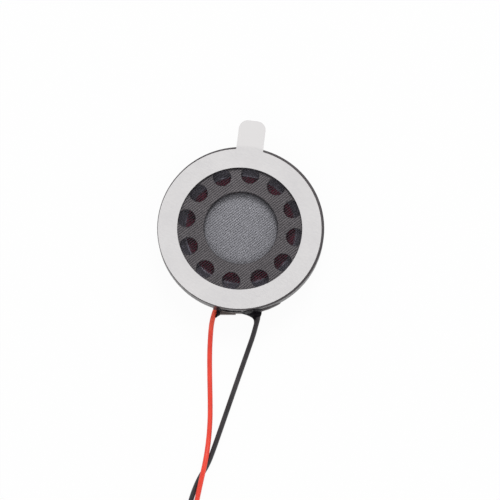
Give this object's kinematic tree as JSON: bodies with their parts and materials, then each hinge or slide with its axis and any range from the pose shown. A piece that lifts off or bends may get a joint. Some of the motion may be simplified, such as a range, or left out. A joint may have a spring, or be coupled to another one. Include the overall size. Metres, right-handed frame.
{
  "type": "mini speaker",
  "caption": "Round moving-coil speaker with a perforated front under woven cloth, a peel-off adhesive ring with a pull tab, and red and black hook-up leads.",
  "frame": {"origin": "centre of the magnet cup's rear face, on the speaker's axis", "axes": "+Z along the axis towards the sound side, +Y towards the liner's pull tab, leads leave towards -Y"},
  "size_m": [0.0244, 0.0556, 0.0044],
  "materials": {
    "yoke_steel": "cold-forged steel, zinc plated",
    "magnet_plating": "sintered magnet, nickel plated",
    "plate_steel": "punched steel disc, plated",
    "frame_steel": "pressed steel sheet, dull nickel",
    "cover_steel": "punched steel sheet",
    "coil_copper": "enamelled copper winding",
    "bond_red": "dark red bonding adhesive",
    "film": "clear polyester film",
    "black_moulding": "black moulded ring",
    "cloth_black": "plain-woven black monofilament",
    "damping_cloth": "thin felted damping cloth",
    "tape_black": "black double-sided tape",
    "liner_paper": "white release paper",
    "board_laminate": "glass-epoxy laminate",
    "solder_tin": "tin solder",
    "glue_black": "cured black adhesive",
    "sheath_red": "soft red insulation",
    "sheath_black": "soft black insulation",
    "lead_pair": "red and black leads wound together",
    "tie_clear": "thin clear tape band",
    "tinned_copper": "tinned copper strands"
  },
  "bodies": {
    "casing": {"yoke": "yoke_steel", "magnet": "magnet_plating", "top_plate": "plate_steel", "spacer_ring": "black_moulding", "diaphragm_ring": "black_moulding", "frame": "frame_steel", "front_cover": "cover_steel", "vent_cloth": "damping_cloth", "dust_mesh": "cloth_black", "adhesive_ring": "tape_black", "release_liner": "liner_paper", "terminal_board": "board_laminate", "terminal_pads": "solder_tin", "solder_joint_red": "solder_tin", "solder_joint_black": "solder_tin", "lead_glue_red": "glue_black", "lead_glue_black": "glue_black", "coil_tail_red": "coil_copper", "coil_tail_black": "coil_copper", "red_lead": "sheath_red", "black_lead": "sheath_black", "lead_coil": "lead_pair", "coil_tie": "tie_clear", "red_lead_tip": "tinned_copper", "black_lead_tip": "tinned_copper"},
    "moving_coil": {"voice_coil": "coil_copper", "coil_bond_ring": "bond_red", "diaphragm": "film"}
  },
  "joints": [
    {"name": "coil_travel", "type": "slide", "parent": "casing", "child": "moving_coil", "axis": [0, 0, 1], "range_m": [-0.0002, 0.0002], "stiffness_N_per_m": 1000, "deforming": ["diaphragm", "coil_tail_red", "coil_tail_black"]}
  ]
}
